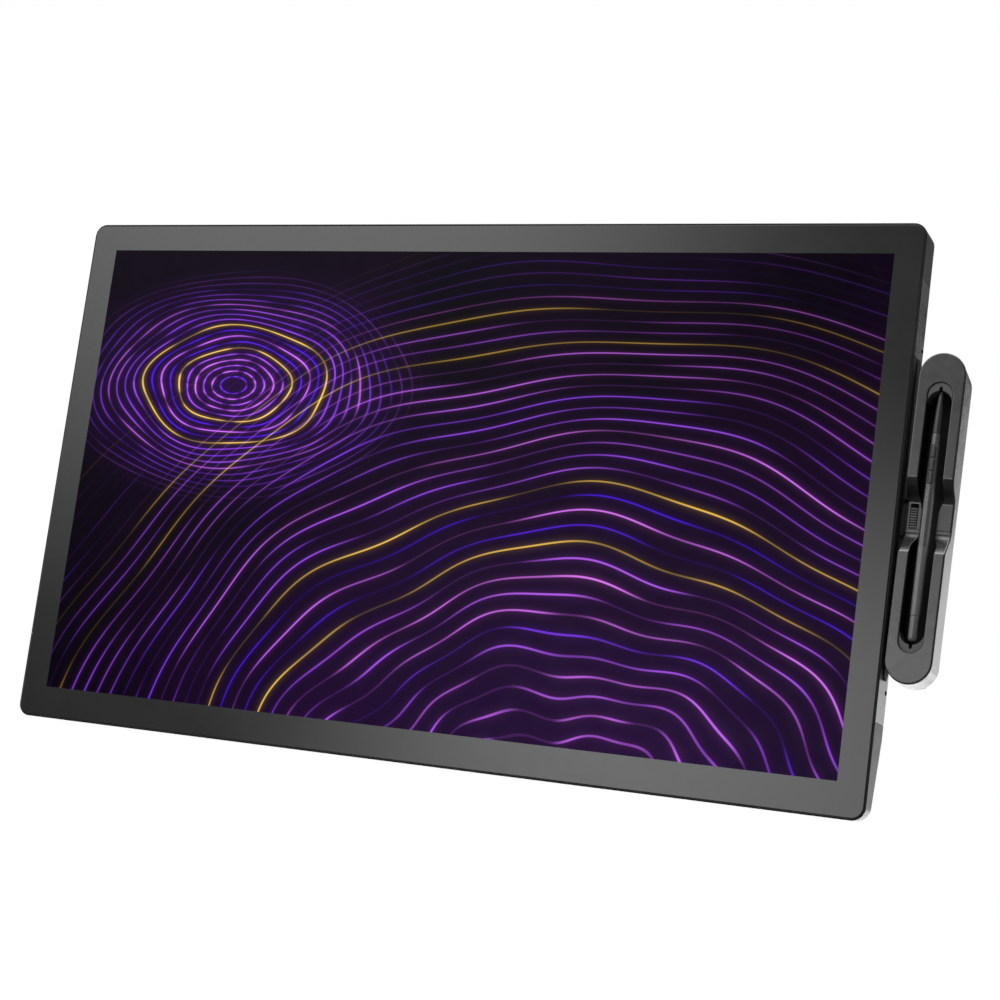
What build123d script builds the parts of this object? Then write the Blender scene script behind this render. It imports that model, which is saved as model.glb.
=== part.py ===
from build123d import *
import os
import math

os.makedirs("parts", exist_ok=True)

# ---------------------------------------------------------------- driving dimensions, mm
# Frame: +X right, +Z up, the screen faces -Y. Origin: centre of the rear bolt pattern on its plane.
THICK = 31.0            # glass front to the rear mounting plane
BODY_W, BODY_H = 638.0, 379.0
BODY_R = 9.0
LIP_D = 0.4             # the lip stands this far behind the glass front
SIDE_D = 24.8           # depth of the side wall's rear edge
SLOPE_Z, SLOPE = -135.0, 0.2165   # below this height the rear edge comes forward by this much per mm
GLASS_W, GLASS_H, GLASS_R = 635.2, 376.2, 7.6
GLASS_T = 1.3
GROOVE = 0.3            # gap between glass and lip
SCREEN_W, SCREEN_H = 596.7, 335.7
SCREEN_DX, SCREEN_DZ = 1.3, 1.25  # the active area's centre, right of and above the body's centre
RAIL_Z0, RAIL_Z1 = -128.0, 152.6
RAIL_T = 3.5
SEAM = 0.25
ACC_Z = (-108.2, 111.1)
ACC_D, ACC_R = 21.2, 1.25   # accessory threads in the side rails
ACC_L, ACC_W, ACC_SINK = 5.6, 3.0, 1.0   # the recess round each thread
VESA, VESA_R, VESA_LEN = 100.0, 1.65, 10.0
BACK_D = 21.0           # rear cover's flat back
HUMP_D = 30.2           # raised rear housing's back
PLATE = 128.0
TRAY_X, TRAY_W, TRAY_L, TRAY_D = 336.5, 29.0, 208.4, 24.5
TRAY_Z = 1.0
TRAY_SHORT, TRAY_DROP = 2.5, 2.45   # the rear outline is this much shorter and lower
TRAY_TILT = 0.8         # degrees, top outward
SLOT_W, SLOT_Z0, SLOT_Z1 = 15.6, -84.0, 86.4
WAIST = 4.9             # half width of the slot where it hugs the pen
PEN_D = 3.9             # the pen's axis behind the glass front
PEN_Z0, PEN_Z1 = -76.2, 81.0
PIN_X, PIN_D, PIN_R = 326.5, 20.0, 1.5
PLATE_D = 13.5          # the tray's mounting plate: depth of its middle
PLATE_SCR = [-70.0, -34.0, 36.6, 72.6]
RUN = 0.05              # radial running clearance
KEY_Z = [52.0, 36.0, 20.0, 4.0]
GRIP_X = 276.0
FAN_X, FAN_Z, FAN_R = 130.0, 25.0, 24.0


def Y(d):
    """Depth behind the glass front to the frame's Y."""
    return d - THICK


def rr(w, h, r, x=0.0, z=0.0):
    return Pos(x, z) * RectangleRounded(w, h, r)


def pull(sk, d0, d1):
    """A sketch in X-Z, extruded from depth d0 to d1."""
    return extrude(Plane(origin=(0, Y(d1), 0), x_dir=(1, 0, 0), z_dir=(0, -1, 0)) * sk, amount=d1 - d0)


def box(x0, x1, d0, d1, z0, z1):
    return Pos((x0 + x1) / 2, Y((d0 + d1) / 2), (z0 + z1) / 2) * Box(x1 - x0, d1 - d0, z1 - z0)


def rod_y(x, z, r, d0, d1):
    """A cylinder along the depth."""
    return Pos(x, Y((d0 + d1) / 2), z) * Rot(90, 0, 0) * Cylinder(r, d1 - d0)


def rod_x(d, z, r, x0, x1):
    return Pos((x0 + x1) / 2, Y(d), z) * Rot(0, 90, 0) * Cylinder(r, x1 - x0)


def rod_z(x, d, r, z0, z1):
    return Pos(x, Y(d), (z0 + z1) / 2) * Cylinder(r, z1 - z0)


def taper(w0, h0, r0, d0, w1, h1, r1, d1, x=0.0, z=0.0):
    """A loft between two rounded rectangles at two depths."""
    a = Plane(origin=(x, Y(d0), z), x_dir=(1, 0, 0), z_dir=(0, -1, 0)) * RectangleRounded(w0, h0, r0)
    b = Plane(origin=(x, Y(d1), z), x_dir=(1, 0, 0), z_dir=(0, -1, 0)) * RectangleRounded(w1, h1, r1)
    return loft([a, b])


def before(pts):
    """Everything in front of a surface given by (z, depth) points, over the whole width."""
    prof = [(Y(-6), pts[0][0])] + [(Y(d), z) for z, d in pts] + [(Y(-6), pts[-1][0])]
    f = Plane(origin=(-330, 0, 0), x_dir=(0, 1, 0), z_dir=(1, 0, 0)) * make_face(Polyline(*prof, close=True))
    return extrude(f, amount=660)


def slot_x(d, z, length, width, x0, x1):
    """A rounded slot cut along X, its length along the depth."""
    f = Plane(origin=(x0, 0, 0), x_dir=(0, 1, 0), z_dir=(1, 0, 0)) * (Pos(Y(d), z) * SlotOverall(length, width))
    return extrude(f, amount=x1 - x0)


def group(shapes):
    """Several separate solids as one node."""
    sol = []
    for s in shapes:
        sol += list(s.solids())
    return Compound(children=sol)


NODES = {}


def keep(name, shape):
    sol = list(shape.solids())
    NODES[name] = sol[0] if len(sol) == 1 else Compound(children=sol)
    NODES[name].label = name


# ---------------------------------------------------------------- screen stack
cover = pull(rr(GLASS_W, GLASS_H, GLASS_R), 0, GLASS_T)
cover = chamfer(cover.faces().sort_by(Axis.Y)[0].edges(), 0.25)
keep("cover_glass", cover)
keep("touch_sensor", pull(rr(611, 349, 2), GLASS_T, 1.6))
keep("lcd_panel", pull(rr(610, 348, 1.5), 1.6, 3.2))
keep("optical_sheets", pull(rr(606, 344, 1.5), 3.2, 4.2))
keep("light_guide", pull(rr(606, 339, 1.0, 0, 2.5), 4.2, 6.7))
led = box(-303, 303, 4.3, 6.6, -171.8, -170.6)
for i in range(40):
    xx = -296.4 + i * 15.2
    led += box(xx - 2.4, xx + 2.4, 4.6, 6.3, -170.7, -167.4)
keep("led_bar", led)
tray_bl = pull(rr(618, 358, 4), 3.4, 7.6) - pull(rr(616, 356, 3), 3.0, 6.8)
keep("backlight_tray", tray_bl)
sensor = pull(rr(602, 340, 3), 7.8, 8.6)
keep("pen_sensor_board", sensor)

# ---------------------------------------------------------------- surround: frame and side rails
ring = pull(rr(BODY_W, BODY_H, BODY_R), LIP_D, SIDE_D)
ring = fillet(ring.faces().sort_by(Axis.Y)[0].edges(), 0.7)
ring = chamfer(ring.faces().sort_by(Axis.Y)[-1].edges(), 0.6)
pocket = pull(rr(GLASS_W + 2 * GROOVE, GLASS_H + 2 * GROOVE, GLASS_R + GROOVE), -1, GLASS_T)
ring -= pocket
ring -= pull(rr(613, 351, 3), 0, 5)
ring -= pull(rr(623, 367, 5), 3.0, SIDE_D + 1)
ring &= before([(200, 30), (SLOPE_Z + (30 - SIDE_D) / SLOPE, 30), (-200, SIDE_D - (SLOPE_Z + 200) * SLOPE)])

rail_x = BODY_W / 2 - RAIL_T


def rail_region(s, gap):
    a = box(rail_x, 330, -1, 30, RAIL_Z0 - gap, RAIL_Z1 + gap)
    return a if s > 0 else mirror(a, Plane.YZ)


frame = ring
for s in (1, -1):
    rail = ring & rail_region(s, 0)
    for z in ACC_Z:
        rail -= rod_x(ACC_D, z, ACC_R, 300, 330) if s > 0 else rod_x(ACC_D, z, ACC_R, -330, -300)
        face_x = BODY_W / 2 - ACC_SINK
        rail -= slot_x(ACC_D, z, ACC_L, ACC_W, face_x, 330) if s > 0 else slot_x(ACC_D, z, ACC_L, ACC_W, -330, -face_x)
    # blind threads for the tray's mounting plate
    for z in PLATE_SCR:
        rail -= rod_x(PLATE_D, z, 1.05, 312, 330) if s > 0 else rod_x(PLATE_D, z, 1.05, -316.4, -300)
    keep("side_rail_right" if s > 0 else "side_rail_left", rail)
    frame -= rail_region(s, SEAM)
    for z in ACC_Z:
        frame -= rod_x(ACC_D, z, 2.2, 305, 318) if s > 0 else rod_x(ACC_D, z, 2.2, -318, -305)
    if s > 0:
        for z in PLATE_SCR:
            frame -= rod_x(PLATE_D, z, 1.4, 310, 318)

# top edge: power button window and touch switch slot
BTN_X, SW_X = 262.0, 232.0
frame -= Pos(BTN_X, Y(9.0), 187) * Box(14.5, 4.5, 12)
frame -= Pos(SW_X + 1.5, Y(9.0), 187) * Box(11.0, 3.0, 12)
keep("bezel_frame", frame)

btn = Pos(BTN_X, Y(9.0), 0) * (Pos(0, 0, 187.2) * Box(14.0, 4.0, 5.4))
btn = fillet(btn.edges().filter_by(Axis.Z), 1.2)
btn += Pos(BTN_X, Y(9.0), 182.5) * Box(17.0, 6.0, 1.2)
btn += Pos(BTN_X, Y(9.0), 183.8) * Box(13.0, 3.4, 2.0)
keep("power_button", btn)
swt = Pos(SW_X, Y(9.0), 186.6) * Box(7.4, 2.4, 7.0)
swt = fillet(swt.edges().filter_by(Axis.Z), 0.8)
swt += Pos(SW_X, Y(9.0), 182.5) * Box(14.0, 5.0, 1.2)
swt += Pos(SW_X, Y(9.0), 183.1) * Box(6.4, 2.0, 1.4)
keep("touch_switch", swt)

# ---------------------------------------------------------------- chassis plate with standoffs
chassis = pull(rr(620, 354, 4), 9.0, 10.2)
for z in (-146.0, 146.0):
    chassis += box(-280, 280, 10.2, 13.0, z - 1, z + 1)
boards = []           # (x, z) of the board screws
MB = (-122.0, 122.0, -96.6, -30.0)
PB = (150.0, 206.0, -96.6, -30.0)
BD = 19.8             # depth of the boards' front faces
for x in (MB[0] + 5, 14.0, MB[1] - 5):
    for z in (MB[2] + 6, MB[3] - 5):
        boards.append((x, z))
for x in (PB[0] + 5, PB[1] - 5):
    for z in (PB[2] + 6, PB[3] - 5):
        boards.append((x, z))
for x, z in boards:
    chassis += rod_y(x, z, 2.6, 10.2, BD)
    chassis -= rod_y(x, z, 1.25, 12.0, 21)
posts = [(sx * VESA / 2, sz * VESA / 2) for sx in (-1, 1) for sz in (-1, 1)]
cover_scr = [(x, z) for x in (-285.0, -150.0, 0.0, 150.0, 285.0) for z in (-154.0, 154.0)]
hump_scr = [(x, z) for x in (-196.0, 196.0) for z in (-20.0, 84.0)]
for x, z in cover_scr + hump_scr:
    chassis -= rod_y(x, z, 1.45, 8.7, 10.6)
chassis -= box(43, 101, 10.3, 14, -149, -143)       # panel cable notch in the lower rib
keep("chassis_plate", chassis)

# mounting plate on four posts, with blind threads
vesa = pull(rr(PLATE, PLATE, 8), 28.0, THICK)
vesa = fillet(vesa.faces().sort_by(Axis.Y)[-1].edges(), 0.5)
for x, z in posts:
    vesa += rod_y(x, z, 7.0, 10.2, 28.2)
for x, z in posts:
    vesa -= rod_y(x, z, VESA_R, THICK - VESA_LEN, THICK + 1)
keep("wall_mount_plate", vesa)

# ---------------------------------------------------------------- boards, sockets, cooling
mb = box(MB[0], MB[1], BD, BD + 1.6, MB[2], MB[3])
for x, z in boards[:6]:
    mb -= rod_y(x, z, 1.25, 18, 22)
for x, z in posts:
    mb -= rod_y(x, z, 8.0, 18, 22)
mb += box(-22, 22, 21.4, 23.4, -66, -44)            # processor
mb += box(-100, -84, 21.4, 22.8, -80, -68)
mb += box(70, 94, 21.4, 22.6, -78, -64)
keep("main_board", mb)
pb = box(PB[0], PB[1], BD, BD + 1.6, PB[2], PB[3])
for x, z in boards[6:]:
    pb -= rod_y(x, z, 1.25, 18, 22)
pb += box(164, 182, 21.4, 27.0, -84, -68)
for x in (176.0, 188.0):
    pb += rod_y(x, -54.0, 4.5, 21.4, 27.4)
keep("power_board", pb)
scr = []
for x, z in boards:
    s1 = rod_y(x, z, 1.2, 13.0, 21.6) + rod_y(x, z, 2.4, 21.4, 22.8)
    s1 -= rod_y(x, z, 0.9, 22.2, 23.0)
    scr.append(s1)
keep("board_screws", group(scr))

BAY_X = 112.0           # half width of the cable bay
BAY_Z = -100.0          # its ceiling
SOCK_D0 = 21.4


def socket(x, w, h, wall, lip=0.0, r=0.6):
    """An open metal box on the board, facing down into the cable bay."""
    z0, z1 = -101.6, -86.0
    body = Pos(x, Y(SOCK_D0 + h / 2), (z0 + z1) / 2) * Box(w, h, z1 - z0)
    body = fillet(body.edges().filter_by(Axis.Z), r)
    hole = Pos(x, Y(SOCK_D0 + h / 2), (z0 + z1) / 2 - 2) * Box(w - 2 * wall, h - 2 * wall, z1 - z0)
    body -= hole
    body += Pos(x, Y(SOCK_D0 + h / 2), -94.0) * Box((w - 2 * wall) * 0.8, h * 0.22, 13.0)
    return body


keep("video_sockets", group([socket(-84, 15.0, 5.8, 0.5), socket(-54, 16.6, 5.6, 0.5)]))
keep("usb_c_sockets", group([socket(-22, 9.4, 3.6, 0.4, r=1.5), socket(0, 9.4, 3.6, 0.4, r=1.5)]))
keep("usb_a_sockets", group([socket(30, 14.0, 6.4, 0.5), socket(54, 14.0, 6.4, 0.5)]))
keep("power_socket", socket(88, 11.4, 6.4, 0.9, r=1.2))

heat = box(-66, 66, 15.0, 18.0, 62.5, 104)
for i in range(23):
    xx = -64 + i * 128 / 22
    heat += box(xx - 0.7, xx + 0.7, 17.9, 27.0, 64, 102)
heat += box(-12, 12, 10.2, 15.1, 70, 96)
keep("heat_sink", heat)

for s, name in ((-1, "left"), (1, "right")):
    fx = s * FAN_X
    fan = Pos(fx, Y(19.0), FAN_Z) * Box(54, 11.0, 54)
    fan = fillet(fan.edges().filter_by(Axis.Y), 3)
    fan -= rod_y(fx, FAN_Z, FAN_R, 12, 26)
    for a in (45, 135, 225, 315):
        arm = Pos(fx + 17 * math.cos(math.radians(a)), Y(14.3), FAN_Z + 17 * math.sin(math.radians(a))) * Rot(0, -a, 0) * Box(18, 1.6, 2.4)
        fan += arm
    fan += rod_y(fx, FAN_Z, 9.0, 13.5, 15.1)
    fan += rod_y(fx, FAN_Z, 1.2, 15.0, 21.0)
    for sx in (-22, 22):
        for sz in (-22, 22):
            fan += rod_y(fx + sx, FAN_Z + sz, 2.6, 10.2, 13.6)
    keep("fan_housing_" + name, fan)
    hub = rod_y(fx, FAN_Z, 10.0, 15.6, 23.6) - rod_y(fx, FAN_Z, 1.2 + RUN, 15, 22)
    hub = fillet(hub.edges().filter_by(GeomType.CIRCLE).sort_by(Axis.Y)[-1], 1.0)
    for k in range(9):
        bl = Pos(16.0, 0, 0) * Rot(32, 0, 0) * Box(14.0, 8.4, 0.9)
        bl = Pos(fx, Y(19.6), FAN_Z) * Rot(0, k * 40, 0) * bl
        hub += bl
    keep("fan_rotor_" + name, hub)

strip = box(45, 99, 3.6, 10.95, -181.4, -181.1)
strip += box(45, 99, 10.65, 10.95, -181.4, -92.0)
strip += box(45, 99, 10.65, 18.6, -92.3, -92.0)
strip += box(44, 100, 18.3, BD, -94.5, -89.5)
keep("panel_cable", strip)

# ---------------------------------------------------------------- rear cover
RC_W, RC_H = 622.4, 366.4       # it sits inside the surround
RC_Z, RC_SLOPE, RC_T = -158.0, 0.254, 2.2
outer = pull(rr(RC_W, RC_H, 4.7), 12.0, BACK_D)
outer &= before([(200, 30), (RC_Z + (30 - BACK_D) / RC_SLOPE, 30), (-200, BACK_D - (RC_Z + 200) * RC_SLOPE)])
inner = pull(rr(RC_W - 4.0, RC_H - 4.0, 2.7), 10, BACK_D - RC_T)
inner &= before([(200, 27.7), (RC_Z + (30 - BACK_D) / RC_SLOPE, 27.7), (-200, BACK_D - 2.3 - (RC_Z + 200) * RC_SLOPE)])
rear = outer - inner
rear -= pull(rr(420, 209, 4, 0, 7.5), 15, 25)     # opening under the raised housing
for x, z in cover_scr:
    rear += rod_y(x, z, 4.0, 10.2, 19.6)
for x, z in cover_scr:
    rear -= rod_y(x, z, 1.45, 9, 22)
    rear -= rod_y(x, z, 3.1, 19.6, 22)
keep("rear_cover", rear)

# raised rear housing: shell with vents, plate opening and cable bay
hump = taper(440, 244, 20, BACK_D, 404, 208, 16, HUMP_D)
hump_in = taper(435.6, 239.6, 18, BACK_D - 0.01, 401, 205, 14, HUMP_D - 2.2)
house = hump - hump_in
for x, z in hump_scr:
    house += rod_y(x, z, 4.0, 10.2, HUMP_D - 1.5)
house -= pull(rr(PLATE + 0.8, PLATE + 0.8, 8.4), 25, 35)
# cable bay: open at the bottom edge, with a ceiling wall that holds the socket windows
house -= box(-BAY_X, BAY_X, 20, 35, -130, BAY_Z)
house += box(-BAY_X - 2, BAY_X + 2, BACK_D, HUMP_D - 2.0, BAY_Z, BAY_Z + 1.8)
for s in (-1, 1):
    w = box(s * BAY_X if s > 0 else -BAY_X - 2, BAY_X + 2 if s > 0 else -BAY_X, BACK_D, HUMP_D - 1.0, -117.0, BAY_Z)
    house += (w & hump)
for (x, w, h) in ((-84, 15.0, 5.8), (-54, 16.6, 5.6), (-22, 9.4, 3.6), (0, 9.4, 3.6), (30, 14.0, 6.4), (54, 14.0, 6.4), (88, 11.4, 6.4)):
    house -= box(x - w / 2 - 0.2, x + w / 2 + 0.2, SOCK_D0 - 0.2, SOCK_D0 + h + 0.2, BAY_Z - 1, BAY_Z + 3)
# air vents: a row above and two short rows beside the mounting plate
cuts = []
for i in range(49):
    xx = -168 + i * 7.0
    cuts.append(box(xx - 1.3, xx + 1.3, 26, 35, 74.0, 92.0))
for s in (-1, 1):
    for i in range(13):
        xx = s * (94.0 + i * 7.0)
        cuts.append(box(xx - 1.3, xx + 1.3, 26, 35, -86.0, -70.0))
for cut in cuts:
    house -= cut
for x, z in hump_scr:
    house -= rod_y(x, z, 1.45, 9, 33)
    house -= rod_y(x, z, 3.1, HUMP_D - 1.4, 33)
keep("rear_housing", house)

screws = []
for x, z in cover_scr:
    s1 = rod_y(x, z, 1.4, 9.0, 19.7) + rod_y(x, z, 2.9, 19.6, 20.8)
    s1 -= pull(Pos(x, z) * RegularPolygon(1.2, 6), 20.0, 22)
    screws.append(s1)
keep("cover_screws", group(screws))
screws = []
for x, z in hump_scr:
    s1 = rod_y(x, z, 1.4, 9.0, 28.9) + rod_y(x, z, 2.9, HUMP_D - 1.4, 30.0)
    s1 -= pull(Pos(x, z) * RegularPolygon(1.2, 6), 29.2, 32)
    screws.append(s1)
keep("housing_screws", group(screws))

lid_full = taper(440, 244, 20, BACK_D, 404, 208, 16, HUMP_D)
lid = (lid_full & box(-BAY_X + 0.4, BAY_X - 0.4, HUMP_D - 2.0, HUMP_D, -130, BAY_Z - 0.4))
lip = lid_full & box(-BAY_X + 0.4, BAY_X - 0.4, BACK_D + 1.0, HUMP_D, -130, BAY_Z - 0.4)
lip_in = taper(436, 240, 18, BACK_D - 0.01, 400, 204, 14, HUMP_D) & box(-BAY_X, BAY_X, 20, 32, -130, BAY_Z)
wall = lip - lip_in
lid += wall
lid -= box(-70, 70, 20, HUMP_D - 2.0, -130, -104)   # mouth where the leads come out
lid -= Pos(0, Y(HUMP_D), -103.4) * Box(26, 1.6, 2.4)
keep("cable_cover", lid)

# ---------------------------------------------------------------- rear grips with sprung keys
for s, name in ((-1, "left"), (1, "right")):
    gx = s * GRIP_X
    pad = taper(46, 214, 20, BACK_D, 38, 204, 17, 27.4, x=gx, z=0)
    pad = fillet(pad.faces().sort_by(Axis.Y)[-1].edges(), 1.2)
    for z in KEY_Z:
        pad -= pull(rr(16.5, 10.5, 3.2, gx, z), 20, 30)
        pad -= pull(rr(19.0, 13.0, 3.4, gx, z), 20, 23.6)
    for k in range(11):
        zz = -18.0 - 7.0 * k
        pad -= box(gx - 12, gx + 12, 26.9, 28, zz - 1.1, zz + 1.1)
    keep("rear_grip_" + name, pad)
    for i, z in enumerate(KEY_Z):
        key = pull(rr(16.0, 10.0, 3.0, gx, z), 22.4, 28.1)
        key = fillet(key.faces().sort_by(Axis.Y)[-1].edges(), 0.6)
        key += pull(rr(18.4, 12.4, 3.2, gx, z), 22.2, 23.2)
        keep(f"express_key_{name}_{i + 1}", key)

# ---------------------------------------------------------------- pen tray, built upright, then leaned
LEAN = Pos(TRAY_X, 0, TRAY_Z) * Rot(0, TRAY_TILT, 0) * Pos(-TRAY_X, 0, -TRAY_Z)


def stadium(w, l, x=TRAY_X, z=TRAY_Z):
    return Pos(x, z) * Rot(0, 0, 90) * SlotOverall(l, w)


def hull(inset, d0, d1):
    """The tray's outer shape, drawn in by inset, between two depths; its outline slips down towards the rear."""
    ends = []
    for d in (d0, d1):
        t = d / TRAY_D
        flat = Plane(origin=(0, Y(d), 0), x_dir=(1, 0, 0), z_dir=(0, -1, 0))
        ends.append(flat * stadium(TRAY_W - 2 * inset, TRAY_L - TRAY_SHORT * t - 2 * inset, TRAY_X, TRAY_Z - TRAY_DROP * t))
    return loft(ends)


def slot_outline(grow=0.0):
    """The pen slot: a stadium whose sides come in at the saddle to hug the pen."""
    r = SLOT_W / 2 + grow
    wr = WAIST + grow
    zt, zb = SLOT_Z1 + grow - r, SLOT_Z0 - grow + r
    x = TRAY_X
    with BuildSketch() as sk:
        with BuildLine():
            l1 = ThreePointArc((x - r, zt), (x, zt + r), (x + r, zt))
            l2 = Line((x + r, zt), (x + r, 17.0))
            l3 = Spline((x + r, 17.0), (x + wr, 5.0), tangents=[(0, -1), (0, -1)])
            l4 = Line((x + wr, 5.0), (x + wr, -9.0))
            l5 = Spline((x + wr, -9.0), (x + r, -17.5), tangents=[(0, -1), (0, -1)])
            l6 = Line((x + r, -17.5), (x + r, zb))
            l7 = ThreePointArc((x + r, zb), (x, zb - r), (x - r, zb))
            l8 = Line((x - r, zb), (x - r, -17.5))
            l9 = Spline((x - r, -17.5), (x - wr, -9.0), tangents=[(0, 1), (0, 1)])
            l10 = Line((x - wr, -9.0), (x - wr, 6.0))
            l11 = Spline((x - wr, 6.0), (x - r, 19.0), tangents=[(0, 1), (0, 1)])
            l12 = Line((x - r, 19.0), (x - r, zt))
        make_face()
    return sk.sketch


DIP = 11.8
DIP_Z = (26.0, 11.2, -5.0, -21.5)


def above(off):
    """Everything in front of the tray's front surface, moved back by off: flat ends and the saddle dip."""
    y = Y(off)
    with BuildSketch(Plane(origin=(310, 0, 0), x_dir=(0, 1, 0), z_dir=(1, 0, 0))) as sk:
        with BuildLine():
            Line((Y(-6), 130), (y, 130))
            Line((y, 130), (y, DIP_Z[0]))
            Spline((y, DIP_Z[0]), (y + DIP, DIP_Z[1]), tangents=[(0, -1), (0, -1)])
            Line((y + DIP, DIP_Z[1]), (y + DIP, DIP_Z[2]))
            Spline((y + DIP, DIP_Z[2]), (y, DIP_Z[3]), tangents=[(0, -1), (-0.68, -0.73)])
            Line((y, DIP_Z[3]), (y, -130))
            Line((y, -130), (Y(-6), -130))
            Line((Y(-6), -130), (Y(-6), 130))
        make_face()
    return extrude(sk.sketch, amount=50)


TOP_T = 1.8
full = hull(0, 0, TRAY_D)
front = above(0.0)
front_low = above(TOP_T)
tray_top = (full & front_low) - front
tray_top -= pull(slot_outline(), -2, 20)
CATCH_X = TRAY_X - 9.8
tray_top -= box(CATCH_X - 2.6, CATCH_X + 2.6, 2, 16, -4.9, 10.8)
keep("tray_top", LEAN * tray_top)

body = full - front_low
body -= hull(1.6, -2, 23.1)
trough = pull(slot_outline(1.4), TOP_T, 18.6) - front_low
body += trough
body -= pull(slot_outline(), -2, 17.4)
body -= pull(stadium(TRAY_W + 2, TRAY_L + 2), 23.1, 30)
# hinge knuckle on the left wall, between the two ears
knuckle = rod_z(PIN_X, PIN_D, 2.9, -9.6 + TRAY_Z, 9.6 + TRAY_Z)
knuckle += box(TRAY_X - TRAY_W / 2 + 0.2, PIN_X, PIN_D - 2.6, PIN_D + 2.6, -9.6 + TRAY_Z, 9.6 + TRAY_Z)
knuckle += box(PIN_X, TRAY_X - 2.0, 17.4, 19.6, -9.6 + TRAY_Z, 9.6 + TRAY_Z)
body += knuckle & pull(stadium(TRAY_W, TRAY_L), 0, 23.1)
body -= rod_z(PIN_X, PIN_D, PIN_R + RUN, -13.2 + TRAY_Z, 13.2 + TRAY_Z)
for s in (-1, 1):
    z0, z1 = (9.6, 13.1) if s > 0 else (-13.1, -9.6)
    body -= box(316, PIN_X + 3.3, 16.6, 23.1, z0 + TRAY_Z, z1 + TRAY_Z)
    body -= box(316, PIN_X + 0.7, 14.4, 17.0, z0 + TRAY_Z, z1 + TRAY_Z)
tray_scr = [(TRAY_X + 10.6, -60.0), (TRAY_X + 10.6, 62.6), (TRAY_X - 10.6, -60.0), (TRAY_X - 10.6, 62.6)]
for x, z in tray_scr:
    body += rod_y(x, z, 2.6, 12.0, 23.1) & full
for x, z in tray_scr:
    body -= rod_y(x, z, 0.95, 16.0, 24)
keep("tray_body", LEAN * body)

back = hull(0, 23.1, TRAY_D)
back = fillet(back.faces().sort_by(Axis.Y)[-1].edges(), 1.2)
for x, z in tray_scr:
    back -= rod_y(x, z, 0.95, 22, 26)
    back -= rod_y(x, z, 1.8, 23.9, 26)
keep("tray_back", LEAN * back)
ts = []
for x, z in tray_scr:
    s1 = rod_y(x, z, 0.9, 17.0, 24.0) + rod_y(x, z, 1.65, 23.9, 24.4)
    ts.append(s1)
keep("tray_screws", LEAN * group(ts))

pocket_in = pull(slot_outline(-0.15), 1.6, 17.2)
ledge_t = pocket_in & box(320, 350, 0, 20, 70, 95)
ledge_t -= rod_y(TRAY_X, SLOT_Z1 - 5.2 - 8.4, 8.4, 0, 20) + box(TRAY_X - 1.2, TRAY_X + 1.2, 0, 20, 76, SLOT_Z1 - 2.6)
ledge_t -= box(320, 350, 0, 20, 60, SLOT_Z1 - 10.0)
ledge_b = pocket_in & box(320, 350, 0, 20, -95, -68)
ledge_b -= rod_y(TRAY_X, SLOT_Z0 + 5.2 + 8.4, 8.4, 0, 20) + box(TRAY_X - 1.2, TRAY_X + 1.2, 0, 20, SLOT_Z0 + 2.6, -74)
ledge_b -= box(320, 350, 0, 20, SLOT_Z0 + 10.0, -60)
keep("pen_rests", LEAN * group([ledge_t, ledge_b]))

catch = box(CATCH_X - 2.3, CATCH_X + 2.3, DIP, 15.2, -4.6, 7.9)
for i in range(8):
    zz = -4.0 + i * 1.62
    catch += box(CATCH_X - 2.1, CATCH_X + 2.1, DIP - 0.7, DIP + 0.1, zz - 0.45, zz + 0.45)
catch += box(CATCH_X - 2.8, CATCH_X + 2.8, 14.0, 15.2, -6.0, 6.5)
keep("tray_catch", LEAN * catch)

# ---------------------------------------------------------------- mounting plate on the rail and the hinge pin
face = BODY_W / 2
plate_z = Plane(origin=(face, 0, 0), x_dir=(0, 1, 0), z_dir=(1, 0, 0))
plate = extrude(plate_z * (Pos(Y(PLATE_D), TRAY_Z) * Rot(0, 0, 90) * SlotOverall(205, 10.0)), amount=0.8)
for z in PLATE_SCR:
    plate -= rod_x(PLATE_D, z, 1.05, 317, 322)
ears = []
for s in (-1, 1):
    zc = s * 11.35 + TRAY_Z
    pts = [(face, Y(14.9)), (face + 1.2, Y(14.9)), (PIN_X + 0.5, Y(PIN_D - 2.75)), (PIN_X, Y(PIN_D + 2.8)), (face + 0.4, Y(18.4)), (face, Y(18.2))]
    poly = Plane(origin=(0, 0, zc - 1.25), x_dir=(1, 0, 0), z_dir=(0, 0, 1)) * make_face(Polyline(*pts, close=True))
    ear = extrude(poly, amount=2.5) + rod_z(PIN_X, PIN_D, 2.8, zc - 1.25, zc + 1.25)
    ear -= rod_z(PIN_X, PIN_D, PIN_R, zc - 3, zc + 3)
    ears.append(ear)
ear_set = LEAN * group(ears)
ear_set = [e - box(300, face, 0, 30, -40, 40) for e in ear_set.solids()]
for e in ear_set:
    plate += e
keep("tray_mount_plate", plate)
ps = []
for z in PLATE_SCR:
    s1 = rod_x(PLATE_D, z, 1.0, 314.0, 319.9)
    s1 += rod_x(PLATE_D, z, 1.9, 319.8, 320.05)
    ps.append(s1)
keep("mount_plate_screws", group(ps))
keep("tray_hinge_pin", LEAN * rod_z(PIN_X, PIN_D, PIN_R, -12.6 + TRAY_Z, 12.6 + TRAY_Z))

# ---------------------------------------------------------------- stylus
PEN = [  # z, radius
    (79.2, 1.35), (76.0, 1.8), (69.0, 2.3), (62.0, 2.6), (54.0, 2.8), (44.0, 3.0), (30.0, 3.1), (20.5, 3.2),
    (8.0, 3.3), (-4.0, 3.35), (-16.0, 3.3), (-34.0, 3.2), (-50.0, 3.15), (-62.0, 3.05), (-74.6, 2.95), (-76.2, 2.2),
]


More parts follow.
